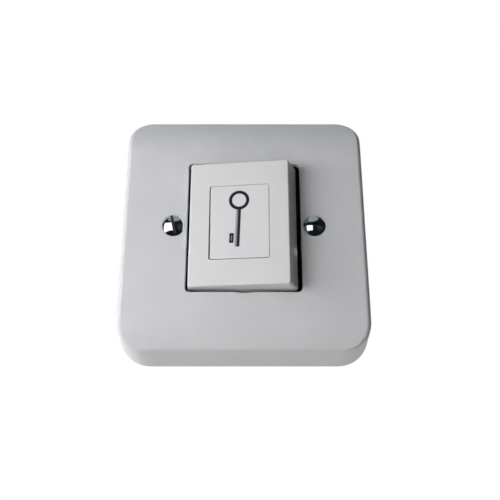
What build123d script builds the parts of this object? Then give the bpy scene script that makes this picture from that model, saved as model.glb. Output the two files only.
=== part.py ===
"""Flush wall pushbutton: a deep screwed cover, a sprung tilting paddle with a symbol plate, and a contact block.

X points right, Y points into the wall and Z points up. The wall plane is y = 0, the front faces -Y, and the
origin is the centre of the mounting plate on the wall plane. All sizes are in millimetres.
"""
from build123d import *
import math
import os

# Joining and cutting
root = 0.2
past = 1.0

# Paddle, measured before it is tilted to its rest position
paddle_front = 25.1
pivot_setback = 11.9
pivot_depth = paddle_front - pivot_setback
rest_tilt = 7.3
paddle_width = 30.8
paddle_height = 40.3
paddle_depth = 7.2
paddle_corner_radius = 0.9
paddle_inner_corner_radius = 0.4
paddle_side_flare = 1.75
paddle_end_flare = 0.42
paddle_wall = 1.6
paddle_web = 1.2
paddle_edge_round = 0.45
paddle_post_radius = 1.4
paddle_post_spacing_x = 20.0
paddle_post_spacing_z = 30.0
hook_width = 5.0
hook_thickness = 1.2
hook_side_gap = 0.1
hook_catch = 0.7
hook_catch_height = 0.8
catch_clearance = 0.05

# Cover
cover_size = 81.0
cover_corner_radius = 10.3
cover_side_height = 17.4
cover_side_inset = 2.2
cover_crown = 3.95
cover_margin = 14.0
cover_wall = 2.0
cover_crease_round = 1.6
window_side_gap = 0.6
window_end_gap = 0.68
window_width = paddle_width + 2 * paddle_side_flare + 2 * window_side_gap
window_height = paddle_height + 2 * paddle_end_flare + 2 * window_end_gap
window_corner_radius = 1.4
window_edge_round = 0.3
pry_notch_width = 6.2
pry_notch_depth = 0.4
cover_rib_thickness = 1.6
cover_rib_overlap = 1.2
cover_rib_spacing = 22.0
cover_rib_gap = 1.0

# Cover screws
cover_screw_spacing = 43.84
cover_screw_radius = 1.75
cover_screw_root_radius = 1.42
cover_screw_head_radius = 3.45
cover_screw_crown = 1.3
cover_screw_slot_width = 0.8
cover_screw_slot_depth = 0.8
cover_screw_reach = 7.0
cover_screw_end_taper = 0.5
cover_screw_slot_angles = (78.0, 4.0)
sleeve_wall = 1.1
screw_hole_clearance = 0.2
head_rim_clearance = 0.15

# Symbol plate
symbol_width = 18.4
symbol_height = 23.9
symbol_thickness = 1.5
symbol_corner_radius = 0.6
symbol_edge_chamfer = 0.1
symbol_joint = 0.12
symbol_leg_width = 4.0
symbol_leg_thickness = 1.2
symbol_leg_length = 2.4
symbol_leg_spacing = 18.0
symbol_barb = 0.35

# Paddle carrier and its pin
carrier_side_room = 1.2
carrier_end_room = 0.65
carrier_width = paddle_width - 2 * paddle_wall - 2 * carrier_side_room
carrier_height = paddle_height - 2 * paddle_wall - 2 * carrier_end_room
carrier_thickness = 2.0
carrier_corner_radius = 1.5
carrier_front_gap = 2.8
ear_width = 6.0
ear_thickness = 2.0
ear_side_gap = 0.2
ear_inset = 0.5
ear_outer_spacing = carrier_height - 2 * ear_inset
pin_radius = 1.0
pin_running_clearance = 0.05
finger_inset = 2.6
finger_arm = carrier_width / 2 - finger_inset
finger_radius = 1.5
finger_width = 4.0
carrier_rib_height = 1.4
carrier_rib_thickness = 1.6
carrier_rib_inset = 6.4

# Bearing frame, which also closes the contact chamber
cheek_thickness = 3.0
cheek_base_width = 11.0
cheek_end_radius = 2.6
frame_end_margin = 1.9
frame_width = 35.6
frame_height = ear_outer_spacing + 2 * (ear_side_gap + cheek_thickness + frame_end_margin)
frame_thickness = 2.8
frame_corner_radius = 3.0
stop_spacing_z = 22.0
stop_inset = 1.6
stop_arm = carrier_width / 2 - stop_inset
stop_radius = 1.5
stop_gap = 0.15
guide_wall = 1.45
guide_height = 4.5

# Mounting plate
plate_side_room = 3.5
plate_size = cover_size - 2 * cover_wall - 2 * plate_side_room
plate_thickness = 1.2
plate_corner_radius = 8.0
plate_opening_width = 29.0
plate_opening_height = 26.0
plate_opening_radius = 3.0
slot_edge_distance = 5.0
slot_spacing = plate_size - 2 * slot_edge_distance
slot_half_width = 1.75
slot_length = 7.0
collar_wall = 1.2
collar_height = 2.0
plate_bead_width = 2.0
plate_bead_height = 0.5
plate_bead_length = 22.0
plate_bead_spacing = 31.5
plate_bead_inset = 3.6

# Contact housing
housing_width = 37.2
housing_height = 40.0
housing_depth = 20.0
housing_corner_radius = 7.0
housing_edge_round = 1.0
housing_floor = 3.0
chamber_width = 33.0
chamber_height = 25.4
chamber_depth = 9.8
chamber_corner_radius = 1.5
housing_screw_inset_x = 4.2
housing_screw_inset_z = 4.0
housing_screw_spacing_x = housing_width - 2 * housing_screw_inset_x
housing_screw_spacing_z = housing_height - 2 * housing_screw_inset_z
housing_screw_radius = 1.4
housing_screw_head_radius = 2.3
housing_screw_head_height = 1.5
housing_screw_reach = 9.0
housing_screw_recess = 0.8

# Plunger
plunger_radius = 2.5
plunger_running_clearance = 0.05
plunger_end_chamfer = 0.3
finger_gap = 0.2
cage_width = 6.8
cage_height = 6.6
cage_depth = 7.5
cage_lid_gap = 0.1
cage_window_top = 2.5
cage_window_side_gap = 0.1
spring_pin_radius = 1.1
spring_pin_length = 3.0
well_radius = 4.2

# Moving bridge and contacts
bridge_width = 4.0
bridge_length = 22.0
bridge_thickness = 0.8
tip_spacing = 18.2
tip_radius = 1.5
tip_thickness = 0.5
closed_contact_gap = 0.06
strip_thickness = 0.8
strip_width = 6.0
strip_end_overlap = 3.2
strip_tab_length = 5.0

# Terminals
terminal_offset_x = 10.0
terminal_spacing_z = 17.2
terminal_block_size = 7.0
terminal_pocket_gap = 0.2
wire_bore_radius = 1.5
wire_entry_radius = 1.75
terminal_screw_radius = 1.45
terminal_screw_head_radius = 2.2
terminal_screw_head_height = 2.0
terminal_screw_inset = 1.0
terminal_channel_radius = 2.5
driver_slot_width = 0.7
driver_slot_depth = 0.7

# Springs
return_spring_wire = 0.5
return_spring_radius = 2.6
return_spring_turns = 6
contact_spring_wire = 0.4
contact_spring_radius = 1.4
contact_spring_turns = 3
spring_seat_gap = 0.02

# Places that follow from the sizes above
crease_y = -cover_side_height
cover_face_y = crease_y - cover_crown
cover_underside_y = cover_face_y + cover_wall
plate_front_y = -plate_thickness
frame_front_y = plate_front_y - frame_thickness
pivot_y = -pivot_depth
tilt = math.radians(rest_tilt)
paddle_front_y = -paddle_front
paddle_back_y = paddle_front_y + paddle_depth
pocket_floor_y = paddle_front_y + symbol_thickness
web_back_y = pocket_floor_y + paddle_web
carrier_front_y = web_back_y + carrier_front_gap
carrier_back_y = carrier_front_y + carrier_thickness
screw_places = (-cover_screw_spacing / 2, cover_screw_spacing / 2)
screw_seat_depth = cover_screw_head_radius - cover_screw_radius
sleeve_radius = cover_screw_radius + screw_hole_clearance + sleeve_wall
pin_end = ear_outer_spacing / 2 + ear_side_gap + cheek_thickness
plunger_x = finger_arm
plunger_travel = 2 * finger_arm * math.sin(tilt)
plunger_top_y = pivot_y - finger_arm * math.sin(tilt) + finger_radius + finger_gap
cage_front_y = plate_front_y + cage_lid_gap
cage_back_y = cage_front_y + cage_depth
strip_front_y = chamber_depth - strip_thickness
fixed_tip_front_y = strip_front_y - tip_thickness
moving_tip_back_y = fixed_tip_front_y - closed_contact_gap - plunger_travel
bridge_back_y = moving_tip_back_y - tip_thickness
bridge_front_y = bridge_back_y - bridge_thickness
cage_window_front_y = cage_front_y + cage_window_top
pocket_back_y = housing_depth - housing_floor
block_back_y = pocket_back_y - terminal_pocket_gap
block_middle_y = (chamber_depth + block_back_y) / 2
terminal_x = -terminal_offset_x


def facing(y):
    """A sketch plane parallel to the wall, with its normal towards the front."""
    return Plane(origin=(0, y, 0), x_dir=(1, 0, 0), z_dir=(0, -1, 0))


def outline(width, height, radius, y):
    return facing(y) * RectangleRounded(width, height, radius)


def block(width, height, radius, y_front, y_back):
    """A rounded block between two planes parallel to the wall."""
    return extrude(outline(width, height, radius, y_back), y_back - y_front)


def rod(x, z, radius, y_front, y_back):
    """A round bar along Y."""
    disc = facing(y_back) * Pos(x, z) * Circle(radius)
    return extrude(disc, y_back - y_front)


def bar(x_size, y_front, y_back, z_size, x=0.0, z=0.0):
    """A square-edged bar between two planes parallel to the wall."""
    return Pos(x, (y_front + y_back) / 2, z) * Box(x_size, y_back - y_front, z_size)


def cone(x, z, radius_front, radius_back, y_front, y_back):
    """A cone frustum along Y."""
    front = facing(y_front) * Pos(x, z) * Circle(radius_front)
    back = facing(y_back) * Pos(x, z) * Circle(radius_back)
    return loft([front, back], ruled=True)


def corners(spacing_x, spacing_z):
    return [(sx * spacing_x / 2, sz * spacing_z / 2) for sx in (-1, 1) for sz in (-1, 1)]


def at_rest(shape):
    """Tilts a piece of the paddle so that its right side stands forward, as the spring holds it."""
    return Pos(0, pivot_y, 0) * Rot(0, 0, -rest_tilt) * Pos(0, -pivot_y, 0) * shape


def edges_at(shape, y):
    """The edges of a shape that lie in one plane parallel to the wall."""
    return shape.edges().filter_by_position(Axis.Y, y - 0.01, y + 0.01)


def face_form():
    """All that lies behind the cover's face: flat in the middle, and bent back to the creases above and below."""
    edge = cover_size / 2 - cover_side_inset
    flat = edge - cover_margin
    bend = edge - cover_margin / 2
    outer = cover_size / 2 + past
    outer_y = crease_y + (outer - edge) * 2 * cover_crown / cover_margin
    side_view = [
        Line((cover_face_y, -flat), (cover_face_y, flat)),
        Bezier((cover_face_y, flat), (cover_face_y, bend), (crease_y, edge)),
        Polyline((crease_y, edge), (outer_y, outer), (past, outer)),
        Line((past, outer), (past, -outer)),
        Polyline((past, -outer), (outer_y, -outer), (crease_y, -edge)),
        Bezier((crease_y, -edge), (cover_face_y, -bend), (cover_face_y, -flat)),
    ]
    return extrude(Plane.YZ * make_face(side_view), cover_size, both=True)


def hood(depth_inside):
    """The cover's form this far inside its surface: leaning sides that end at the face."""
    size = cover_size - 2 * depth_inside
    radius = cover_corner_radius - depth_inside / 2
    front_y = cover_face_y - past
    inset = cover_side_inset * front_y / crease_y
    rim = outline(size, size, radius, 0)
    front = outline(size - 2 * inset, size - 2 * inset, radius - inset, front_y)
    return loft([rim, front], ruled=True) & Pos(0, depth_inside, 0) * face_form()


def face_edges(form):
    """The edges where the cover's face meets its sides."""
    reach = cover_size / 2 - cover_corner_radius
    edges = [e for e in form.edges() if e.center().Y < crease_y + cover_crease_round]
    return [e for e in edges if max(abs(e.center().X), abs(e.center().Z)) > reach]


def cover_plate():
    outside = hood(0)
    outside = fillet(face_edges(outside), cover_crease_round)
    shell = outside - hood(cover_wall)
    for x in screw_places:
        shell += rod(x, 0, sleeve_radius, cover_underside_y - cover_wall / 2, plate_front_y)
    rib_tip = plate_size / 2 - cover_rib_overlap
    rib_length = cover_size / 2 - rib_tip
    rib_back = plate_front_y - cover_rib_gap
    ribs = []
    for across, along in corners(cover_size - rib_length, cover_rib_spacing):
        ribs.append(bar(rib_length, cover_face_y, rib_back, cover_rib_thickness, across, along))
        ribs.append(bar(cover_rib_thickness, cover_face_y, rib_back, rib_length, along, across))
    middle_of_wall = hood(cover_wall / 2)
    for rib in ribs:
        shell += rib & middle_of_wall
    front, back = cover_face_y - past, cover_underside_y + past
    shell -= block(window_width, window_height, window_corner_radius, front, back)
    notch_radius = ((pry_notch_width / 2) ** 2 + pry_notch_depth ** 2) / (2 * pry_notch_depth)
    shell -= rod(0, notch_radius - pry_notch_depth - window_height / 2, notch_radius, front, back)
    rim = cover_screw_head_radius + head_rim_clearance
    for x in screw_places:
        shell -= rod(x, 0, cover_screw_radius + screw_hole_clearance, front, plate_front_y + past)
        shell -= cone(x, 0, rim, rim - screw_seat_depth, cover_face_y, cover_face_y + screw_seat_depth)
    reach_x = window_width / 2 + pry_notch_depth
    reach_z = window_height / 2 + pry_notch_depth
    window = [e for e in edges_at(shell, cover_face_y) if abs(e.center().X) < reach_x and abs(e.center().Z) < reach_z]
    return fillet(window, window_edge_round)


def cover_screws():
    """Raised countersunk screws, with their shanks at the thread's root where they stand free of the plate."""
    screws = []
    head = cover_screw_head_radius
    head_y = cover_face_y - cover_screw_crown
    seat_y = cover_face_y + screw_seat_depth
    taper_y = cover_screw_reach - cover_screw_end_taper
    end_radius = cover_screw_root_radius - cover_screw_end_taper
    ball = (head ** 2 + cover_screw_crown ** 2) / (2 * cover_screw_crown)
    for x, slot_angle in zip(screw_places, cover_screw_slot_angles):
        crown = Pos(x, head_y + ball, 0) * Sphere(ball)
        crown &= rod(x, 0, head, head_y - past, cover_face_y)
        screw = crown + cone(x, 0, head, cover_screw_radius, cover_face_y, seat_y)
        screw += rod(x, 0, cover_screw_radius, seat_y, collar_height + root)
        screw += rod(x, 0, cover_screw_root_radius, collar_height, taper_y)
        screw += cone(x, 0, cover_screw_root_radius, end_radius, taper_y, cover_screw_reach)
        slot = bar(2 * head + past, head_y - past, head_y + cover_screw_slot_depth, cover_screw_slot_width)
        screws.append(screw - Pos(x, 0, 0) * Rot(0, slot_angle, 0) * slot)
    return Compound(screws)


def mounting_plate():
    plate = block(plate_size, plate_size, plate_corner_radius, plate_front_y, 0)
    plate -= block(plate_opening_width, plate_opening_height, plate_opening_radius, plate_front_y - past, past)
    slot = SlotCenterToCenter(slot_length - 2 * slot_half_width, 2 * slot_half_width)
    for side in (-1, 1):
        level = facing(past) * Pos(side * slot_spacing / 2, 0) * slot
        upright = facing(past) * Pos(0, side * slot_spacing / 2) * Rot(0, 0, 90) * slot
        plate -= extrude(level, plate_thickness + 2 * past)
        plate -= extrude(upright, plate_thickness + 2 * past)
    for x in screw_places:
        plate += rod(x, 0, cover_screw_radius + collar_wall, plate_front_y, collar_height)
        plate -= rod(x, 0, cover_screw_radius, plate_front_y - past, collar_height + past)
    for x, z in corners(plate_bead_spacing, plate_size - 2 * plate_bead_inset):
        bead = facing(plate_front_y) * Pos(x, z) * SlotCenterToCenter(plate_bead_length, plate_bead_width)
        plate += extrude(bead, plate_bead_height)
    for x, z in corners(housing_screw_spacing_x, housing_screw_spacing_z):
        plate -= rod(x, z, housing_screw_radius + screw_hole_clearance, plate_front_y - past, past)
    return plate


def bearing_frame():
    frame = block(frame_width, frame_height, frame_corner_radius, frame_front_y, plate_front_y)
    for side in (-1, 1):
        middle = side * (pin_end - cheek_thickness / 2)
        foot = cheek_base_width / 2
        tip = cheek_end_radius
        foot_y = frame_front_y + root
        side_view = Plane(origin=(0, 0, middle), x_dir=(1, 0, 0), z_dir=(0, 0, 1))
        web = side_view * Polygon((-foot, foot_y), (foot, foot_y), (tip, pivot_y), (-tip, pivot_y), align=None)
        frame += extrude(web, cheek_thickness / 2, both=True)
        frame += Pos(0, pivot_y, middle) * Cylinder(tip, cheek_thickness)
    frame -= Pos(0, pivot_y, 0) * Cylinder(pin_radius, 4 * pin_end)
    reach = stop_arm + stop_radius
    drop = pivot_y - carrier_back_y
    stop_top_y = pivot_y + reach * math.sin(tilt) - drop * math.cos(tilt) + stop_gap
    for x, z in corners(2 * stop_arm, stop_spacing_z):
        frame += rod(x, z, stop_radius, stop_top_y, frame_front_y + root)
    bore = plunger_radius + plunger_running_clearance
    guide_top_y = frame_front_y - guide_height
    frame += rod(plunger_x, 0, bore + guide_wall, guide_top_y, frame_front_y + root)
    frame -= rod(plunger_x, 0, bore, guide_top_y - past, past)
    for x, z in corners(housing_screw_spacing_x, housing_screw_spacing_z):
        frame -= rod(x, z, housing_screw_radius + screw_hole_clearance, frame_front_y - past, past)
        head = housing_screw_head_radius + screw_hole_clearance
        frame -= rod(x, z, head, frame_front_y - past, frame_front_y + housing_screw_recess)
    return frame


def pivot_pin():
    return Pos(0, pivot_y, 0) * Cylinder(pin_radius, 2 * pin_end)


def housing_screws():
    screws = []
    seat = frame_front_y + housing_screw_recess
    top = seat - housing_screw_head_height
    for x, z in corners(housing_screw_spacing_x, housing_screw_spacing_z):
        screw = rod(x, z, housing_screw_head_radius, top, seat)
        screw += rod(x, z, housing_screw_radius, seat, housing_screw_reach)
        for angle in (0, 90):
            cut = bar(2 * housing_screw_radius, top - past, top + driver_slot_depth, driver_slot_width)
            screw -= Pos(x, 0, z) * Rot(0, angle, 0) * cut
        screws.append(screw)
    return Compound(screws)


def switch_housing():
    body = block(housing_width, housing_height, housing_corner_radius, 0, housing_depth)
    body = fillet(edges_at(body, housing_depth), housing_edge_round)
    body -= block(chamber_width, chamber_height, chamber_corner_radius, -past, chamber_depth)
    body -= rod(plunger_x, 0, well_radius, 0, pocket_back_y)
    body += rod(plunger_x, 0, spring_pin_radius, pocket_back_y - spring_pin_length / 2, pocket_back_y)
    pocket = terminal_block_size + 2 * terminal_pocket_gap
    tab_room = strip_thickness + terminal_pocket_gap
    for side in (-1, 1):
        z = side * terminal_spacing_z / 2
        body -= bar(pocket + tab_room, 0, pocket_back_y, pocket, terminal_x - tab_room / 2, z)
        body -= rod(terminal_x, z, wire_entry_radius, 0, housing_depth + past)
        channel = Cylinder(terminal_channel_radius, housing_height / 2 - abs(z))
        body -= Pos(terminal_x, block_middle_y, side * (housing_height / 2 + abs(z)) / 2) * channel
    for x, z in corners(housing_screw_spacing_x, housing_screw_spacing_z):
        body -= rod(x, z, housing_screw_radius, -past, housing_screw_reach + past)
    return body


def contact_strip(side):
    """A brass strip from one terminal to the contact beside the plunger; side 1 is the upper one."""
    z = side * terminal_spacing_z / 2
    tab_x = terminal_x - terminal_block_size / 2 - strip_thickness / 2
    start = tab_x - strip_thickness / 2
    end = plunger_x + strip_end_overlap
    strip = bar(end - start, strip_front_y, chamber_depth, strip_width, (start + end) / 2, z)
    strip += bar(strip_thickness, strip_front_y, chamber_depth + strip_tab_length, strip_width, tab_x, z)
    return strip


def contact_tips(y_front, y_back):
    """The two silver tips beside the plunger, between two depths."""
    return Compound([rod(plunger_x, z, tip_radius, y_front, y_back) for z in (-tip_spacing / 2, tip_spacing / 2)])


def terminal_block(side):
    z = side * terminal_spacing_z / 2
    size = terminal_block_size
    clamp = bar(size, chamber_depth, block_back_y, size, terminal_x, z)
    clamp -= rod(terminal_x, z, wire_bore_radius, chamber_depth - past, block_back_y + past)
    thread = Cylinder(terminal_screw_radius, size)
    return clamp - Pos(terminal_x, block_middle_y, z + side * size / 2) * thread


def terminal_screws():
    tip = terminal_spacing_z / 2 + wire_bore_radius
    head_end = housing_height / 2 - terminal_screw_inset
    head_start = head_end - terminal_screw_head_height
    screw = Pos(0, 0, (tip + head_start) / 2) * Cylinder(terminal_screw_radius, head_start - tip)
    head_middle = (head_start + head_end) / 2
    screw += Pos(0, 0, head_middle) * Cylinder(terminal_screw_head_radius, terminal_screw_head_height)
    screw -= Pos(0, 0, head_end) * Box(2 * terminal_screw_head_radius, driver_slot_width, 2 * driver_slot_depth)
    place = Pos(terminal_x, block_middle_y, 0)
    return Compound([place * screw, place * Rot(180, 0, 0) * screw])


def plunger():
    stem = rod(plunger_x, 0, plunger_radius, plunger_top_y, cage_front_y)
    stem = chamfer(edges_at(stem, plunger_top_y), plunger_end_chamfer)
    cage = bar(cage_width, cage_front_y, cage_back_y, cage_height, plunger_x)
    window = bridge_width + 2 * cage_window_side_gap
    cage -= bar(window, cage_window_front_y, bridge_back_y, cage_height + 2 * past, plunger_x)
    pin = rod(plunger_x, 0, spring_pin_radius, cage_back_y, cage_back_y + spring_pin_length)
    return stem + cage + pin


def contact_bridge():
    return bar(bridge_width, bridge_front_y, bridge_back_y, bridge_length, plunger_x)


def coil(radius, wire, turns, y_front, y_back):
    """A round-wire spring along Y at the plunger: a chain of biarcs, each a quarter turn of the helix."""
    length = y_back - y_front - wire - 2 * spring_seat_gap
    start_y = y_front + wire / 2 + spring_seat_gap
    rise = length / (2 * math.pi * turns)

    def place(angle):
        return Vector(plunger_x + radius * math.cos(angle), start_y + rise * angle, radius * math.sin(angle))

    def heading(angle):
        return Vector(-radius * math.sin(angle), rise, radius * math.cos(angle)).normalized()

    edges = []
    quarters = round(4 * turns)
    for quarter in range(quarters):
        first = quarter * math.pi / 2
        last = first + math.pi / 2
        begin, end = place(first), place(last)
        leave, arrive = heading(first), heading(last)
        chord, both = end - begin, leave + arrive
        spread = 4 - both.dot(both)
        lean = chord.dot(both)
        reach = (math.sqrt(lean ** 2 + spread * chord.dot(chord)) - lean) / spread
        near, far = begin + leave * reach, end - arrive * reach
        middle = (near + far) * 0.5
        edges.append(TangentArc(begin, middle, tangent=leave))
        edges.append(TangentArc(middle, end, tangent=(far - near).normalized()))
    points = [place(2 * math.pi * turns * k / 400) for k in range(401)]
    half_turn = round(200 / turns)
    gap = min((b - a).length for i, a in enumerate(points) for b in points[i + half_turn:]) - wire
    print("coil of", turns, "turns, least gap to itself", round(gap, 2), "mm, pitch radius", radius, "mm")
    section = Plane(origin=place(0), z_dir=heading(0)) * Circle(wire / 2)
    return sweep(section, path=Wire(edges))


def return_spring():
    return coil(return_spring_radius, return_spring_wire, return_spring_turns, cage_back_y, pocket_back_y)


def contact_spring():
    return coil(contact_spring_radius, contact_spring_wire, contact_spring_turns, cage_window_front_y, bridge_front_y)


def paddle_form(shrink, radius, y_front, y_back):
    """The paddle's flared form between two depths, drawn in by a wall thickness."""
    sections = []
    for y in (y_front, y_back):
        share = (y - paddle_front_y) / paddle_depth
        width = paddle_width + 2 * paddle_side_flare * share - 2 * shrink
        height = paddle_height + 2 * paddle_end_flare * share - 2 * shrink
        sections.append(outline(width, height, radius, y))
    return loft(sections, ruled=True)


def paddle_cap():
    cap = paddle_form(0, paddle_corner_radius, paddle_front_y, paddle_back_y)
    cap = fillet(edges_at(cap, paddle_front_y), paddle_edge_round)
    cap -= paddle_form(paddle_wall, paddle_inner_corner_radius, web_back_y, paddle_back_y + root)
    pocket_width = symbol_width + 2 * symbol_joint
    pocket_height = symbol_height + 2 * symbol_joint
    pocket_corner = symbol_corner_radius + symbol_joint
    cap -= block(pocket_width, pocket_height, pocket_corner, paddle_front_y - past, pocket_floor_y)
    leg_room = symbol_leg_thickness + 2 * symbol_barb
    hook_root_y = web_back_y - root
    catch_front_y = carrier_back_y + catch_clearance
    catch_back_y = catch_front_y + hook_catch_height
    for side in (-1, 1):
        z = side * symbol_leg_spacing / 2
        cap -= bar(symbol_leg_width + 2 * symbol_joint, pocket_floor_y - past, web_back_y + past, leg_room, 0, z)
        hook_x = side * (carrier_width / 2 + hook_side_gap + hook_thickness / 2)
        cap += bar(hook_thickness, hook_root_y, catch_back_y, hook_width, hook_x)
        catch_x = hook_x - side * (hook_thickness / 2 + hook_catch / 2)
        cap += bar(hook_catch, catch_front_y, catch_back_y, hook_width, catch_x)
    for x, z in corners(paddle_post_spacing_x, paddle_post_spacing_z):
        cap += rod(x, z, paddle_post_radius, hook_root_y, carrier_front_y)
    return at_rest(cap)


def symbol_plate():
    plate = block(symbol_width, symbol_height, symbol_corner_radius, paddle_front_y, pocket_floor_y)
    plate = chamfer(edges_at(plate, paddle_front_y), symbol_edge_chamfer)
    leg_end_y = pocket_floor_y + symbol_leg_length
    for side in (-1, 1):
        z = side * symbol_leg_spacing / 2
        plate += bar(symbol_leg_width, pocket_floor_y - root, leg_end_y, symbol_leg_thickness, 0, z)
        barb_z = z + side * (symbol_leg_thickness + symbol_barb) / 2
        plate += bar(symbol_leg_width, web_back_y + catch_clearance, leg_end_y, symbol_barb, 0, barb_z)
    return at_rest(plate)


def paddle_carrier():
    carrier = block(carrier_width, carrier_height, carrier_corner_radius, carrier_front_y, carrier_back_y)
    root_y = carrier_back_y - root
    for side in (-1, 1):
        middle = side * (ear_outer_spacing / 2 - ear_thickness / 2)
        carrier += bar(ear_width, root_y, pivot_y, ear_thickness, 0, middle)
        carrier += Pos(0, pivot_y, middle) * Cylinder(ear_width / 2, ear_thickness)
    rib_back_y = carrier_back_y + carrier_rib_height
    rib_length = ear_outer_spacing - 2 * ear_thickness
    carrier += bar(carrier_rib_thickness, root_y, rib_back_y, rib_length, carrier_rib_inset - carrier_width / 2)
    carrier += bar(2 * finger_radius, root_y, pivot_y, finger_width, finger_arm)
    carrier += Pos(finger_arm, pivot_y, 0) * Cylinder(finger_radius, finger_width)
    carrier -= Pos(0, pivot_y, 0) * Cylinder(pin_radius + pin_running_clearance, 4 * pin_end)
    return at_rest(carrier)


parts = {
    "cover_plate": cover_plate,
    "cover_screws": cover_screws,
    "mounting_plate": mounting_plate,
    "bearing_frame": bearing_frame,
    "pivot_pin": pivot_pin,
    "housing_screws": housing_screws,
    "switch_housing": switch_housing,
    "upper_contact_strip": lambda: contact_strip(1),
    "lower_contact_strip": lambda: contact_strip(-1),
    "fixed_contact_tips": lambda: contact_tips(fixed_tip_front_y, strip_front_y),
    "upper_terminal_block": lambda: terminal_block(1),
    "lower_terminal_block": lambda: terminal_block(-1),
    "terminal_screws": terminal_screws,
    "return_spring": return_spring,
    "plunger": plunger,
    "contact_bridge": contact_bridge,
    "moving_contact_tips": lambda: contact_tips(bridge_back_y, moving_tip_back_y),
    "contact_spring": contact_spring,
    "paddle_cap": paddle_cap,
    "symbol_plate": symbol_plate,
    "paddle_carrier": paddle_carrier,
}

os.makedirs("parts", exist_ok=True)
for name, make in parts.items():
    export_step(make(), f"parts/{name}.step")
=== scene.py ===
"""Looks of a flush wall pushbutton: materials, key pictogram, screw threads, spring, lights and camera.

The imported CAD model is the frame. Objects are in metres in the part's own axes: X right, Y into the wall and
Z up. Sizes of pieces are written here in millimetres, and places and sizes of camera and lamps in metres.
"""

import math

import bpy
from mathutils import Matrix, Vector


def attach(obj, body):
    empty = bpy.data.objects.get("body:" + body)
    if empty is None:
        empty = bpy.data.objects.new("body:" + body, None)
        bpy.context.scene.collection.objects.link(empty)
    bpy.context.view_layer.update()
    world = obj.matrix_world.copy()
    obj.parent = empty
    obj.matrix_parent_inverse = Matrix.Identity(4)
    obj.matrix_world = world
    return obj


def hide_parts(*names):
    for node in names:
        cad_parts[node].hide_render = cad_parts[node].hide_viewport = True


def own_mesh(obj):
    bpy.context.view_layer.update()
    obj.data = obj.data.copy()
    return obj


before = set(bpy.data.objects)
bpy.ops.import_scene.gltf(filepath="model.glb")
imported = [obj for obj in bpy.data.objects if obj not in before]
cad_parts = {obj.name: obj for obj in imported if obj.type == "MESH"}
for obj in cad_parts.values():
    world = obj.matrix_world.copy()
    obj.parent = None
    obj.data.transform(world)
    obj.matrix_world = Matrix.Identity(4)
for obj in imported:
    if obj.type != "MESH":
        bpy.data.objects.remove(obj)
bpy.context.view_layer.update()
MM = 0.001
MICRON = 0.000001

# Sizes that the pieces made here share with the part's source
PIVOT_Y = -13.2
REST_TILT = 7.3
PADDLE_FRONT_Y = -25.1
SCREW_X = 21.92
SCREW_ROOT_RADIUS = 1.42
SCREW_THREAD_RADIUS = 1.75
COLLAR_END_Y = 2.0
SCREW_TAPER_Y = 6.5
SPRING_X = 10.0
SPRING_RADIUS = 2.6
SPRING_WIRE = 0.5
SPRING_FRONT_Y = 6.4
SPRING_BACK_Y = 17.0


# Meshes
def mesh_object(name, points, faces, smooth=True):
    """A mesh piece from points in millimetres."""
    mesh = bpy.data.meshes.new(name)
    mesh.from_pydata([Vector(p) * MM for p in points], [], faces)
    mesh.validate()
    if smooth:
        mesh.polygons.foreach_set("use_smooth", [True] * len(mesh.polygons))
    mesh.update()
    obj = bpy.data.objects.new(name, mesh)
    bpy.context.scene.collection.objects.link(obj)
    return obj


def on_paddle(points):
    """Points in the paddle's own untilted millimetres, turned to where the paddle rests."""
    turn = Matrix.Rotation(math.radians(-REST_TILT), 4, "Z")
    pivot = Vector((0, PIVOT_Y, 0))
    return [turn @ (Vector(p) - pivot) + pivot for p in points]


def prism(outlines, y_back, y_front, soft):
    """A flat shape in XZ with a softened front edge, from its outline and, if it has a hole, the hole's."""
    points, faces = [], []
    count = len(outlines[0])
    levels = [(y_back, 0.0), (y_front + soft, 0.0), (y_front, soft)]
    for index, outline in enumerate(outlines):
        sign = 1 if index == 0 else -1
        for y, inset in levels:
            for x, z, nx, nz in outline:
                points.append((x - sign * nx * inset, y, z - sign * nz * inset))
    ring = len(levels) * count
    for index in range(len(outlines)):
        base = index * ring
        for level in range(len(levels) - 1):
            a, b = base + level * count, base + (level + 1) * count
            for k in range(count):
                n = (k + 1) % count
                quad = (a + k, a + n, b + n, b + k)
                faces.append(quad if index == 0 else quad[::-1])
    top = (len(levels) - 1) * count
    if len(outlines) == 2:
        for k in range(count):
            n = (k + 1) % count
            faces.append((top + k, top + n, ring + top + n, ring + top + k))
            faces.append((k, ring + k, ring + n, n))
    else:
        faces.append(tuple(top + k for k in range(count)))
        faces.append(tuple(reversed(range(count))))
    return points, faces


# The outlines run clockwise, and each of their points comes with its outward normal: x, z, nx, nz
def on_circle(x, z, radius, angle):
    """One point of a circle with its outward normal."""
    c, s = math.cos(angle), math.sin(angle)
    return x + radius * c, z + radius * s, c, s


def circle_outline(z, radius, count=96):
    """A circle about a point on the part's upright middle line."""
    return [on_circle(0, z, radius, -2 * math.pi * k / count) for k in range(count)]


def slab_outline(x0, x1, z0, z1, radius, per_corner=8):
    """An upright rectangle with rounded corners."""
    spots = []
    middles = [(x1 - radius, z0 + radius, 0), (x0 + radius, z0 + radius, -90),
               (x0 + radius, z1 - radius, -180), (x1 - radius, z1 - radius, -270)]
    for cx, cz, start in middles:
        for k in range(per_corner):
            spots.append(on_circle(cx, cz, radius, math.radians(start - 90 * k / (per_corner - 1))))
    return spots


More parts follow.
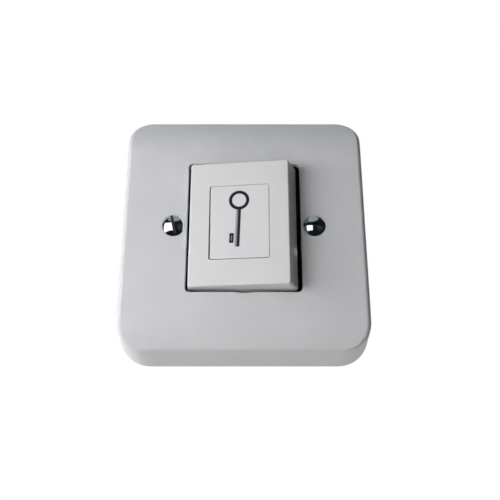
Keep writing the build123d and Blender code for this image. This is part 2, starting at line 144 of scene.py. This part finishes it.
def rounded_outline(corner_points, radius, per_corner=6):
    """Any clockwise polygon with rounded corners."""
    spots = []
    count = len(corner_points)
    for k, corner in enumerate(corner_points):
        here = Vector(corner)
        before = (Vector(corner_points[k - 1]) - here).normalized()
        after = (Vector(corner_points[(k + 1) % count]) - here).normalized()
        half = before.angle(after) / 2
        middle = here + (before + after).normalized() * radius / math.sin(half)
        first = Vector((before.y, -before.x))
        last = Vector((-after.y, after.x))
        for step in range(per_corner):
            normal = first.lerp(last, step / (per_corner - 1)).normalized()
            spots.append((*(middle + normal * radius), *normal))
    return spots


def tube(path, radius, sides):
    """A closed round tube along a list of points."""
    points, faces = [], []
    last = len(path) - 1
    normal = None
    for k, p in enumerate(path):
        ahead = (Vector(path[min(k + 1, last)]) - Vector(path[max(k - 1, 0)])).normalized()
        if normal is None:
            normal = ahead.orthogonal().normalized()
        normal = (normal - ahead * normal.dot(ahead)).normalized()
        across = ahead.cross(normal)
        for s in range(sides):
            a = 2 * math.pi * s / sides
            points.append(Vector(p) + (normal * math.cos(a) + across * math.sin(a)) * radius)
    for k in range(last):
        for s in range(sides):
            n = (s + 1) % sides
            a, b = k * sides, (k + 1) * sides
            faces.append((a + s, a + n, b + n, b + s))
    faces.append(tuple(reversed(range(sides))))
    faces.append(tuple(last * sides + s for s in range(sides)))
    return points, faces


# Shader nodes. Each helper gives an output socket, so that one can be fed to the next.
VECTOR_MATH = "ShaderNodeVectorMath"


def feed(owner, node, inputs):
    """Sets a node's inputs to values, and links those that are given an output socket."""
    for name, value in inputs.items():
        if isinstance(value, bpy.types.NodeSocket):
            owner.node_tree.links.new(value, node.inputs[name])
        else:
            node.inputs[name].default_value = value


def add(owner, kind, inputs=None, **settings):
    """A new node of a material or a world, with its settings and inputs."""
    node = owner.node_tree.nodes.new(kind)
    for name, value in settings.items():
        setattr(node, name, value)
    feed(owner, node, inputs or {})
    return node


def calc(owner, operation, *operands, kind="ShaderNodeMath"):
    """The result of a math node on values or sockets."""
    node = add(owner, kind, dict(enumerate(operands)), operation=operation)
    return node.outputs["Vector" if operation == "NORMALIZE" else "Value"]


def place(mat, scale=(1, 1, 1)):
    """Object coordinates, stretched by scale, so that grain and scratches have a direction."""
    inputs = {"Vector": add(mat, "ShaderNodeTexCoord").outputs["Object"], "Scale": scale}
    return add(mat, "ShaderNodeMapping", inputs).outputs["Vector"]


def noise(mat, where, scale, detail, rough):
    """A noise at a scale per metre."""
    inputs = {"Vector": where, "Scale": scale, "Detail": detail, "Roughness": rough}
    return add(mat, "ShaderNodeTexNoise", inputs).outputs["Fac"]


def spread(mat, value, low, high, from_low=0.3, from_high=0.7):
    """Maps a value, by default the middle of a noise, to a range."""
    inputs = {"Value": value, "From Min": from_low, "From Max": from_high, "To Min": low, "To Max": high}
    return add(mat, "ShaderNodeMapRange", inputs).outputs["Result"]


def ramp(mat, value, stops):
    """Colours blended along a value, from places and colours in order."""
    node = add(mat, "ShaderNodeValToRGB", {"Fac": value})
    elements = node.color_ramp.elements
    first, *between, last = stops
    for index, (spot, color) in ((0, first), (1, last)):
        elements[index].position = spot
        elements[index].color = (*color, 1)
    for spot, color in between:
        elements.new(spot).color = (*color, 1)
    return node.outputs["Color"]


TINT_FROM = 0.35
TINT_TO = 0.65


def tinted(mat, value, color, darker, lighter):
    """A colour that a noise makes a little darker and a little lighter."""
    dark = tuple(c * (1 - darker) for c in color)
    light = tuple(min(1.0, c * (1 + lighter)) for c in color)
    return ramp(mat, value, ((TINT_FROM, dark), (TINT_TO, light)))


def mixed(mat, before, after, mask, data_type="RGBA"):
    """One value or colour where the mask is 0, and another where it is 1."""
    inputs = {"A": before, "B": after, "Factor": mask}
    return add(mat, "ShaderNodeMix", inputs, data_type=data_type).outputs["Result"]


def bump(mat, height, microns, under=None):
    """Relief of a greatest height, laid over another relief if one is given."""
    inputs = {"Height": height, "Distance": microns * MICRON}
    if under is not None:
        inputs["Normal"] = under
    return add(mat, "ShaderNodeBump", inputs).outputs["Normal"]


# Materials. A noise is given as its scale, detail and roughness, but a plastic's grain and a metal's brushed
# lines come with a scale of their own. A relief's height is in micrometres.
PLASTIC_FLOW = (90, 2.0, 0.5)
PLASTIC_GLOSS = (700, 4.0, 0.6)
PLASTIC_GLOSS_LESS = 0.05
PLASTIC_GLOSS_MORE = 0.06
GRAIN = (5.0, 0.65)
HAIRLINES = (2600, 2.0, 0.4)
HAIRLINE_STRETCH = (1, 1, 0.08)
HAIRLINE_RANGE = (0.70, 0.78)
HAIRLINE_DEPTH = 0.25
METAL_CLOUDS = (120, 4.0, 0.6)
METAL_GLOSS = (900, 4.0, 0.6)
METAL_GLOSS_LESS = 0.75
METAL_GLOSS_MORE = 1.3
BRUSHED = (3.0, 0.5)
LINES_ALONG_X = (0.06, 1, 1)
LINES_ALONG_Z = (1, 1, 0.06)
INK_GRAIN = (5200, 4.0, 0.6)
INK_GRAIN_MICRONS = 2.0
INK_ROUGHNESS = 0.55
INK_SPECULAR = 0.15
NYLON_SUBSURFACE = 0.15
NYLON_DEPTH = 0.8


def new_material(name, color, roughness, metallic=0.0, specular=0.5):
    """A material and its shader."""
    mat = bpy.data.materials.new(name)
    mat.use_nodes = True
    shader = mat.node_tree.nodes["Principled BSDF"]
    feed(mat, shader, {"Base Color": (*color, 1), "Roughness": roughness, "Metallic": metallic,
                       "Specular IOR Level": specular})
    return mat, shader


def moulded_plastic(name, color, roughness, grain, microns, tone=0.02, specular=0.5):
    """Moulded thermoplastic: eroded grain, a faint flow pattern in tone and gloss, and hairline marks."""
    mat, shader = new_material(name, color, roughness, specular=specular)
    where = place(mat)
    flow = noise(mat, where, *PLASTIC_FLOW)
    gloss = noise(mat, where, *PLASTIC_GLOSS)
    eroded = bump(mat, noise(mat, where, grain, *GRAIN), microns)
    scratches = noise(mat, place(mat, HAIRLINE_STRETCH), *HAIRLINES)
    hairlines = spread(mat, scratches, 0.0, 1.0, *HAIRLINE_RANGE)
    feed(mat, shader, {
        "Base Color": tinted(mat, flow, color, tone, tone),
        "Roughness": spread(mat, gloss, roughness - PLASTIC_GLOSS_LESS, roughness + PLASTIC_GLOSS_MORE),
        "Normal": bump(mat, hairlines, microns * HAIRLINE_DEPTH, under=eroded)})
    return mat


def metal(name, color, roughness, line_scale, microns, tone, lines=(1, 1, 1)):
    """A metal with a drawn or brushed direction, a cloudy tone and a little spread in its gloss."""
    mat, shader = new_material(name, color, roughness, metallic=1.0)
    where = place(mat)
    clouds = noise(mat, where, *METAL_CLOUDS)
    gloss = noise(mat, where, *METAL_GLOSS)
    brushed = noise(mat, place(mat, lines), line_scale, *BRUSHED)
    feed(mat, shader, {
        "Base Color": tinted(mat, clouds, color, tone, tone),
        "Roughness": spread(mat, gloss, roughness * METAL_GLOSS_LESS, roughness * METAL_GLOSS_MORE),
        "Normal": bump(mat, brushed, microns)})
    return mat


cover_plastic = moulded_plastic("cover_plastic", (0.600, 0.602, 0.612),
                                roughness=0.42, grain=4200, microns=6.0)
paddle_plastic = moulded_plastic("paddle_plastic", (0.640, 0.637, 0.628),
                                 roughness=0.34, grain=3600, microns=4.0, tone=0.012)
symbol_plastic = moulded_plastic("symbol_plastic", (0.655, 0.655, 0.653),
                                 roughness=0.34, grain=3600, microns=1.5, tone=0.004)
black_plastic = moulded_plastic("black_plastic", (0.012, 0.012, 0.013),
                                roughness=0.50, grain=3000, microns=8.0, tone=0.10, specular=0.35)
nylon = moulded_plastic("nylon", (0.66, 0.64, 0.55), roughness=0.40, grain=3200, microns=4.0)
feed(nylon, nylon.node_tree.nodes["Principled BSDF"],
     {"Subsurface Weight": NYLON_SUBSURFACE, "Subsurface Scale": NYLON_DEPTH * MM})
CHROME = {"color": (0.74, 0.77, 0.79), "roughness": 0.07, "line_scale": 900, "microns": 0.4, "tone": 0.015}
chrome = metal("chrome", **CHROME)
zinc = metal("zinc_steel", (0.38, 0.39, 0.41),
             roughness=0.30, line_scale=2200, microns=2.0, tone=0.07, lines=LINES_ALONG_Z)
# Near-black steel for the mounting plate, which also serves as painted shade in the gap round the paddle.
gap_shade_steel = metal("black_steel_gap_shade", (0.030, 0.031, 0.034),
                  roughness=0.42, line_scale=2200, microns=2.0, tone=0.10, lines=LINES_ALONG_Z)
spring_wire = metal("spring_steel", (0.42, 0.42, 0.43),
                    roughness=0.26, line_scale=2600, microns=1.2, tone=0.06)
brass = metal("brass", (0.80, 0.60, 0.29),
              roughness=0.27, line_scale=2200, microns=1.8, tone=0.08, lines=LINES_ALONG_X)
silver = metal("silver", (0.86, 0.85, 0.82), roughness=0.36, line_scale=3000, microns=2.2, tone=0.05)

# Driver slots of the cover screws: their angles, and the soft edge of the mask in shares of the half width
SLOT_ANGLES = {-SCREW_X: 78.0, SCREW_X: 4.0}
SLOT_HALF_WIDTH = 0.4
SLOT_EDGE = (1.01, 1.1)
# The slot floors' colour is painted shade: the recesses are painted near black.
SLOT_SHADE_TONE = (0.065, 0.068, 0.072, 1)
SLOT_ROUGHNESS = 0.38


def slot_mask(mat, where, screw_x, angle):
    """1 in the driver slot of one cover screw and 0 elsewhere."""
    a = math.radians(angle)
    across = calc(mat, "DOT_PRODUCT", where, (math.sin(a), 0, math.cos(a)), kind=VECTOR_MATH)
    off = calc(mat, "ABSOLUTE", calc(mat, "SUBTRACT", across, screw_x * math.sin(a) * MM))
    near = spread(mat, off, 1.0, 0.0, *(SLOT_HALF_WIDTH * share * MM for share in SLOT_EDGE))
    parts = add(mat, "ShaderNodeSeparateXYZ", {"Vector": where})
    side = calc(mat, "GREATER_THAN" if screw_x > 0 else "LESS_THAN", parts.outputs["X"], 0.0)
    return calc(mat, "MULTIPLY", near, side)


def screw_chrome():
    """The screws' chrome, with rougher driver slots whose floors are painted near black as painted shade."""
    mat = metal("screw_chrome", **CHROME)
    shader = mat.node_tree.nodes["Principled BSDF"]
    where = place(mat)
    mask = calc(mat, "ADD", *(slot_mask(mat, where, x, angle) for x, angle in SLOT_ANGLES.items()))
    for name, value, data_type in (("Base Color", SLOT_SHADE_TONE, "RGBA"), ("Roughness", SLOT_ROUGHNESS, "FLOAT")):
        outside = shader.inputs[name].links[0].from_socket
        feed(mat, shader, {name: mixed(mat, outside, value, mask, data_type)})
    return mat


finish = {
    "cover_plate": cover_plastic,
    "cover_screws": screw_chrome(),
    # near-black steel, also painted shade for the gap round the paddle
    "mounting_plate": gap_shade_steel,
    "bearing_frame": black_plastic,
    "pivot_pin": zinc,
    "housing_screws": zinc,
    "switch_housing": black_plastic,
    "upper_contact_strip": brass,
    "lower_contact_strip": brass,
    "fixed_contact_tips": silver,
    "upper_terminal_block": brass,
    "lower_terminal_block": brass,
    "terminal_screws": zinc,
    "return_spring": spring_wire,
    "plunger": nylon,
    "contact_bridge": brass,
    "moving_contact_tips": silver,
    "contact_spring": spring_wire,
    "paddle_cap": paddle_plastic,
    "symbol_plate": symbol_plastic,
    "paddle_carrier": black_plastic,
}
for name, material in finish.items():
    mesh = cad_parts[name].data
    mesh.materials.clear()
    mesh.materials.append(material)


# Symbol plate with its two snap legs. It is seated towards the right and top of its pocket, so that its joint
# is widest at the lower left.
PLATE_CORNERS = ((-9.00, 11.97), (9.22, 11.99), (9.23, -11.86), (-8.80, -11.84))
PLATE_BACK_Y = -23.6
PLATE_CORNER_RADIUS = 0.5
PLATE_EDGE_SOFT = 0.07
LEG_HALF_WIDTH = 2.0
LEG_INNER_Z = 8.4
LEG_OUTER_Z = 9.6
BARB_Z = 9.95
BARB_Y = -22.35
LEG_END_Y = -21.2
LEG_ROOT_Y = -23.8

plate_outline = rounded_outline(PLATE_CORNERS, PLATE_CORNER_RADIUS)
points, faces = prism([plate_outline], PLATE_BACK_Y, PADDLE_FRONT_Y, PLATE_EDGE_SOFT)
leg_section = ((LEG_ROOT_Y, LEG_INNER_Z), (LEG_END_Y, LEG_INNER_Z), (LEG_END_Y, LEG_OUTER_Z),
               (BARB_Y, BARB_Z), (BARB_Y, LEG_OUTER_Z), (LEG_ROOT_Y, LEG_OUTER_Z))
for side in (-1, 1):
    start, count = len(points), len(leg_section)
    for x in (-LEG_HALF_WIDTH, LEG_HALF_WIDTH):
        points += [(x, y, side * z) for y, z in leg_section]
    loops = [tuple(range(count)), tuple(range(2 * count - 1, count - 1, -1))]
    loops += [(k, k + count, (k + 1) % count + count, (k + 1) % count) for k in range(count)]
    faces += [tuple(start + k for k in (loop if side == 1 else loop[::-1])) for loop in loops]
insert = mesh_object("symbol_insert", on_paddle(points), faces, smooth=False)
insert.data.materials.append(symbol_plastic)
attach(insert, "paddle")
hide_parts("symbol_plate")


# Key pictogram, printed on the symbol plate. Its parts are drawn upright and turned by KEY_LEAN degrees.
# Shank, bit and slit are given by their left, right, lower and upper edges.
INK_SINK = 0.02
INK_HEIGHT = 0.03
INK_SOFT = 0.012
KEY_LEAN = 2.2
RING_Z = 7.02
RING_OUTER = 3.18
RING_LINE = 1.0
SHANK_INTO_RING = 0.6
SHANK = (-0.85, 0.74, -8.2, RING_Z - RING_OUTER + RING_LINE * SHANK_INTO_RING)
SHANK_RADIUS = 0.35
SHANK_PROUD = -0.004
BIT = (-2.47, -1.12, -6.98, -3.85)
BIT_RADIUS = 0.22
SLIT = (-1.98, -1.60, -6.30, -4.55)
SLIT_RADIUS = 0.16
SLIT_PROUD = 0.006
DARK_INK = (0.014, 0.015, 0.018)
GREY_INK = (0.17, 0.17, 0.18)
SHANK_INKS = ((0.00, (0.470, 0.470, 0.4600)), (0.18, (0.360, 0.360, 0.3780)),
              (0.42, (0.190, 0.190, 0.1995)), (0.52, (0.030, 0.030, 0.0315)),
              (0.80, (0.016, 0.016, 0.0168)), (1.00, (0.028, 0.030, 0.0340)))
INK_DARKER = 0.20
INK_LIGHTER = 0.25

ink_front = PADDLE_FRONT_Y - INK_HEIGHT


def leaning(spots):
    """The key stands a little askew on its plate: everything turns about the middle of its ring."""
    c, s = math.cos(math.radians(KEY_LEAN)), math.sin(math.radians(KEY_LEAN))
    turned = []
    for x, z, nx, nz in spots:
        down = z - RING_Z
        turned.append((x * c + down * s, RING_Z - x * s + down * c, nx * c + nz * s, nz * c - nx * s))
    return turned


def grainy_ink(name, color):
    """Matt ink with a fine relief: its material, its shader, its coordinates and its grain."""
    mat, shader = new_material(name, color, INK_ROUGHNESS, specular=INK_SPECULAR)
    where = place(mat)
    grain = noise(mat, where, *INK_GRAIN)
    feed(mat, shader, {"Normal": bump(mat, grain, INK_GRAIN_MICRONS)})
    return mat, shader, where, grain


def plain_ink(name, color):
    """Ink of one colour."""
    mat, shader, where, grain = grainy_ink(name, color)
    feed(mat, shader, {"Base Color": tinted(mat, grain, color, INK_DARKER, INK_LIGHTER)})
    return mat


def shank_ink():
    """Ink that runs from light grey at the left edge of the shank to black at its right side."""
    mat, shader, where, grain = grainy_ink("shank_ink", DARK_INK)
    edges = leaning([(x, RING_Z, 0, 0) for x in SHANK[:2]])
    left, right = on_paddle([(x, ink_front, z) for x, z, nx, nz in edges])
    direction = (right - left).normalized()
    sideways = calc(mat, "DOT_PRODUCT", where, direction, kind=VECTOR_MATH)
    across = spread(mat, sideways, 0.0, 1.0, left.dot(direction) * MM, right.dot(direction) * MM)
    feed(mat, shader, {"Base Color": ramp(mat, across, SHANK_INKS)})
    return mat


def printed(name, outlines, material, proud=0.0):
    """A printed shape, which stands out by proud more than the others do."""
    turned = [leaning(outline) for outline in outlines]
    points, faces = prism(turned, PADDLE_FRONT_Y + INK_SINK, ink_front - proud, INK_SOFT)
    obj = mesh_object(name, on_paddle(points), faces, smooth=False)
    obj.data.materials.append(material)
    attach(obj, "paddle")


dark_ink = plain_ink("dark_ink", DARK_INK)
grey_ink = plain_ink("grey_ink", GREY_INK)
ring_radii = (RING_OUTER, RING_OUTER - RING_LINE)
printed("key_ring", [circle_outline(RING_Z, radius) for radius in ring_radii], dark_ink)
printed("key_shank", [slab_outline(*SHANK, SHANK_RADIUS)], shank_ink(), SHANK_PROUD)
printed("key_bit", [slab_outline(*BIT, BIT_RADIUS)], dark_ink)
printed("key_bit_slit", [slab_outline(*SLIT, SLIT_RADIUS)], grey_ink, SLIT_PROUD)


# Threads on the free ends of the cover screws. The foot's half width is a share of the pitch, and the crest's
# is a share of that. The fade is in turns.
THREAD_PITCH = 0.6
THREAD_STEPS = 40
THREAD_FOOT = 0.42
THREAD_CREST = 0.15
THREAD_FADE = 0.6
ROOT_SINK = 0.06


def thread(x):
    """A helical ridge round one cover screw, which fades into the shank at both ends."""
    first, last = COLLAR_END_Y - THREAD_PITCH / 2, SCREW_TAPER_Y + THREAD_PITCH / 2
    turns = (last - first) / THREAD_PITCH
    steps = round(turns * THREAD_STEPS)
    inner = SCREW_ROOT_RADIUS - ROOT_SINK
    foot = THREAD_PITCH * THREAD_FOOT
    top = foot * THREAD_CREST
    points, faces = [], []
    for k in range(steps + 1):
        turn = turns * k / steps
        fade = min(1.0, min(turn, turns - turn) / THREAD_FADE)
        angle = 2 * math.pi * turn
        middle = first + THREAD_PITCH * turn
        crest = inner + (SCREW_THREAD_RADIUS - inner) * fade
        for radius, along in ((inner, -foot), (crest, -top), (crest, top), (inner, foot)):
            points.append((x + radius * math.cos(angle), middle + along, radius * math.sin(angle)))
    for k in range(steps):
        a, b = 4 * k, 4 * (k + 1)
        for s in range(4):
            n = (s + 1) % 4
            faces.append((a + s, b + s, b + n, a + n))
    end = 4 * steps
    faces.append((0, 1, 2, 3))
    faces.append((end + 3, end + 2, end + 1, end))
    return points, faces


for side, label in ((-1, "left"), (1, "right")):
    ridge = mesh_object("screw_thread_" + label, *thread(side * SCREW_X), smooth=False)
    ridge.data.materials.append(chrome)
    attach(ridge, "base")


# Return spring, built at one fixed length, though the real one shortens as the plunger goes in. The closed
# turns rise by a little more than the wire's thickness, and the pitch changes within SPRING_BLEND turns.
SPRING_ACTIVE_TURNS = 5.0
SPRING_CLOSED_TURNS = 1.0
SPRING_CLOSED_RISE = 1.06
SPRING_BLEND = 0.5
SPRING_STEPS = 40
SPRING_SIDES = 14


def spring_path():
    """A compression spring along Y with a closed turn at each end."""
    length = SPRING_BACK_Y - SPRING_FRONT_Y - SPRING_WIRE
    start = SPRING_FRONT_Y + SPRING_WIRE / 2
    turns = SPRING_ACTIVE_TURNS + 2 * SPRING_CLOSED_TURNS
    steps = int(turns * SPRING_STEPS)
    rise_closed = SPRING_WIRE * SPRING_CLOSED_RISE
    rise_active = (length - 2 * SPRING_CLOSED_TURNS * rise_closed) / SPRING_ACTIVE_TURNS
    path = []
    y = start
    for k in range(steps + 1):
        turn = turns * k / steps
        a = 2 * math.pi * turn
        path.append((SPRING_X + SPRING_RADIUS * math.cos(a), y, SPRING_RADIUS * math.sin(a)))
        past = min(turn, turns - turn) - SPRING_CLOSED_TURNS
        blend = min(1.0, max(0.0, past / SPRING_BLEND + 0.5))
        blend = blend * blend * (3 - 2 * blend)
        y += (rise_closed + (rise_active - rise_closed) * blend) * turns / steps
    scale = length / (path[-1][1] - start)
    return [(x, start + (py - start) * scale, z) for x, py, z in path]


spring = mesh_object("return_spring_coil", *tube(spring_path(), SPRING_WIRE / 2, SPRING_SIDES))
spring.data.materials.append(spring_wire)
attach(spring, "base")
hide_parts("return_spring")
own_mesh(spring)


# Camera at the photograph's place, tipped up by CAMERA_RISE degrees
CAMERA_SPOT = (0.001852, -0.19861, -0.06821)
CAMERA_RISE = 18.75
CAMERA_SENSOR = 36.0
CAMERA_LENS = 43.92
CAMERA_CLIP = (0.005, 20.0)

camera_data = bpy.data.cameras.new("camera")
camera_data.sensor_width = CAMERA_SENSOR
camera_data.lens = CAMERA_LENS
camera_data.clip_start, camera_data.clip_end = CAMERA_CLIP
camera = bpy.data.objects.new("camera", camera_data)
camera.location = CAMERA_SPOT
camera.rotation_euler = (math.radians(90 + CAMERA_RISE), 0, 0)
bpy.context.scene.collection.objects.link(camera)
bpy.context.scene.camera = camera


# Lamps
PART_MIDDLE = (0, -0.012, 0)
WHITE = (1, 1, 1)
COOL_WHITE = (0.985, 0.990, 1.020)
WARM_WHITE = (1.0, 0.92, 0.80)


def toward(azimuth, elevation, distance):
    """A place seen from the part: azimuth 0 is straight in front and positive to the right."""
    a, e = math.radians(azimuth), math.radians(elevation)
    level = distance * math.cos(e)
    return level * math.sin(a), -level * math.cos(a), distance * math.sin(e)


def area_light(name, spot, width, height, watts, color=WHITE):
    """A rectangular lamp that the camera doesn't see, turned to the part."""
    data = bpy.data.lights.new(name, "AREA")
    data.shape = "RECTANGLE"
    data.size, data.size_y = width, height
    data.energy = watts
    data.color = color
    obj = bpy.data.objects.new(name, data)
    obj.location = spot
    obj.rotation_mode = "QUATERNION"
    obj.rotation_quaternion = (Vector(PART_MIDDLE) - Vector(spot)).to_track_quat("-Z", "Y")
    obj.visible_camera = False
    bpy.context.scene.collection.objects.link(obj)
    return obj


# Polished metal doesn't reflect these three, and reflects the room further on instead.
front_lamps = (
    area_light("key_window", toward(-55, -2, 0.42), width=0.27, height=0.19, watts=1.84, color=COOL_WHITE),
    area_light("top_fill", toward(-25, 35, 0.60), width=0.30, height=0.30, watts=0.46),
    area_light("low_fill", toward(-6, -66, 0.15), width=0.17, height=0.05, watts=0.015, color=WARM_WHITE),
)
for lamp in front_lamps:
    lamp.visible_glossy = False
area_light("back_fill", (0.15, 0.60, 0.35), width=0.60, height=0.40, watts=1.7)


# What polished metal reflects, which only glossy rays see: a dark room with a wide window. Directions are in
# degrees: azimuth and elevation as in toward(). A patch is given by its middle's direction, its reach and the
# width of its soft edge, and its colour.
WINDOW_AZIMUTHS = (-74, -8)
WINDOW_ELEVATIONS = (-21, 31)
WINDOW_GLOW = 1.5
WINDOW_SOFT = 0.02
ROOM_TONE = (0.008, 0.010, 0.012)
ROOM_PATCHES = {
    "ceiling": ((-15, 70, 26, 7), (0.30, 0.36, 0.33)),
    "wall past the window": ((-96, 0, 16, 6), (0.13, 0.14, 0.14)),
    "wall at the right": ((40, 5, 15, 12), (0.035, 0.047, 0.06)),
}


def above(mat, value, limit):
    """1 where a value is over the limit and 0 under it, with a soft step."""
    return spread(mat, value, 0.0, 1.0, limit - WINDOW_SOFT, limit + WINDOW_SOFT)


def window_mask(mat, direction):
    """1 inside a window that spans some azimuths and elevations seen from the part, and 0 outside it."""
    steps = []
    for azimuth, sign in zip(WINDOW_AZIMUTHS, (1, -1)):
        a = math.radians(azimuth)
        inward = (sign * math.cos(a), sign * math.sin(a), 0)
        steps.append(above(mat, calc(mat, "DOT_PRODUCT", direction, inward, kind=VECTOR_MATH), 0.0))
    height = add(mat, "ShaderNodeSeparateXYZ", {"Vector": direction}).outputs["Z"]
    low, high = (math.sin(math.radians(elevation)) for elevation in WINDOW_ELEVATIONS)
    steps += [above(mat, height, low), above(mat, calc(mat, "MULTIPLY", height, -1.0), -high)]
    mask = steps[0]
    for step in steps[1:]:
        mask = calc(mat, "MULTIPLY", mask, step)
    return mask


def patch_mask(mat, direction, azimuth, elevation, reach, soft):
    """1 within a cone of directions seen from the part, and 0 outside it."""
    near = calc(mat, "DOT_PRODUCT", direction, toward(azimuth, elevation, 1.0), kind=VECTOR_MATH)
    outer, inner = math.cos(math.radians(reach + soft)), math.cos(math.radians(reach))
    return spread(mat, near, 0.0, 1.0, outer, inner)


def room_material():
    """The glow of the room's walls and window."""
    mat = bpy.data.materials.new("room")
    mat.use_nodes = True
    mat.node_tree.nodes.clear()
    direction = calc(mat, "NORMALIZE", place(mat), kind=VECTOR_MATH)
    color = (*ROOM_TONE, 1)
    for cone, tint in ROOM_PATCHES.values():
        color = mixed(mat, color, (*tint, 1), patch_mask(mat, direction, *cone))
    window = window_mask(mat, direction)
    glow = add(mat, "ShaderNodeEmission", {"Color": mixed(mat, color, (*WHITE, 1), window),
                                           "Strength": spread(mat, window, 1.0, WINDOW_GLOW, 0.0, 1.0)})
    add(mat, "ShaderNodeOutputMaterial", {"Surface": glow.outputs["Emission"]})
    return mat


# The room is a ball round the part, open at the back: it reaches ROOM_REACH degrees from straight in front.
ROOM_RADIUS = 1100.0
ROOM_REACH = 105
ROOM_RINGS = 24
ROOM_SIDES = 48

room_points, room_faces = [], []
for ring in range(ROOM_RINGS + 1):
    polar = math.radians(ROOM_REACH) * ring / ROOM_RINGS
    for side in range(ROOM_SIDES):
        turn = 2 * math.pi * side / ROOM_SIDES
        room_points.append((ROOM_RADIUS * math.sin(polar) * math.cos(turn), -ROOM_RADIUS * math.cos(polar),
                            ROOM_RADIUS * math.sin(polar) * math.sin(turn)))
for ring in range(ROOM_RINGS):
    for side in range(ROOM_SIDES):
        a, b = ring * ROOM_SIDES, (ring + 1) * ROOM_SIDES
        n = (side + 1) % ROOM_SIDES
        room_faces.append((a + side, a + n, b + n, b + side))
room = mesh_object("room", room_points, room_faces)
room.data.materials.append(room_material())
room.visible_camera = False
room.visible_diffuse = False
room.visible_shadow = False
room.visible_transmission = False


# Pale floor. To the camera, a share of white that grows between two distances in metres leads over into the
# white of the background.
FLOOR_Z = -160.0
FLOOR_HALF = 1200.0
FLOOR_COLOR = (0.80, 0.80, 0.80)
FLOOR_DARKER = 0.0125
FLOOR_LIGHTER = 0.025
FLOOR_ROUGHNESS = 0.85
FLOOR_GRAIN = (60, 4.0, 0.5)
FLOOR_FADE = (0.35, 1.1)
FLOOR_WHITE_SHARE = (0.55, 1.0)


def floor_material():
    """Pale matt paper that fades to white where the camera sees it."""
    mat, shader = new_material("floor", FLOOR_COLOR, FLOOR_ROUGHNESS)
    where = place(mat)
    grain = noise(mat, where, *FLOOR_GRAIN)
    feed(mat, shader, {"Base Color": tinted(mat, grain, FLOOR_COLOR, FLOOR_DARKER, FLOOR_LIGHTER)})
    share = spread(mat, calc(mat, "LENGTH", where, kind=VECTOR_MATH), *FLOOR_WHITE_SHARE, *FLOOR_FADE)
    rays = add(mat, "ShaderNodeLightPath").outputs
    seen = calc(mat, "MULTIPLY", share, rays["Is Camera Ray"])
    glow = add(mat, "ShaderNodeEmission").outputs["Emission"]
    mix = add(mat, "ShaderNodeMixShader", {"Fac": seen, 1: shader.outputs["BSDF"], 2: glow})
    feed(mat, mat.node_tree.nodes["Material Output"], {"Surface": mix.outputs["Shader"]})
    return mat


floor_corners = [(x * FLOOR_HALF, y * FLOOR_HALF, 0) for x, y in ((-1, -1), (1, -1), (1, 1), (-1, 1))]
floor = mesh_object("floor", floor_corners, [(0, 1, 2, 3)], smooth=False)
floor.location = (0, 0, FLOOR_Z * MM)
floor.data.materials.append(floor_material())
floor.visible_glossy = False


# World: white where it is seen, and very little light
AMBIENT = 0.02

world = bpy.data.worlds.new("studio")
bpy.context.scene.world = world
world.use_nodes = True
world.node_tree.nodes.clear()
rays = add(world, "ShaderNodeLightPath").outputs
seen = calc(world, "MAXIMUM", rays["Is Camera Ray"], rays["Is Glossy Ray"])
seen = calc(world, "MAXIMUM", seen, rays["Is Transmission Ray"])
dim, bright = (add(world, "ShaderNodeBackground", {"Color": (*WHITE, 1), "Strength": strength})
               for strength in (AMBIENT, 1.0))
chosen = add(world, "ShaderNodeMixShader",
             {"Fac": seen, 1: dim.outputs["Background"], 2: bright.outputs["Background"]})
add(world, "ShaderNodeOutputWorld", {"Surface": chosen.outputs["Shader"]})

bpy.context.scene.view_settings.view_transform = "Standard"
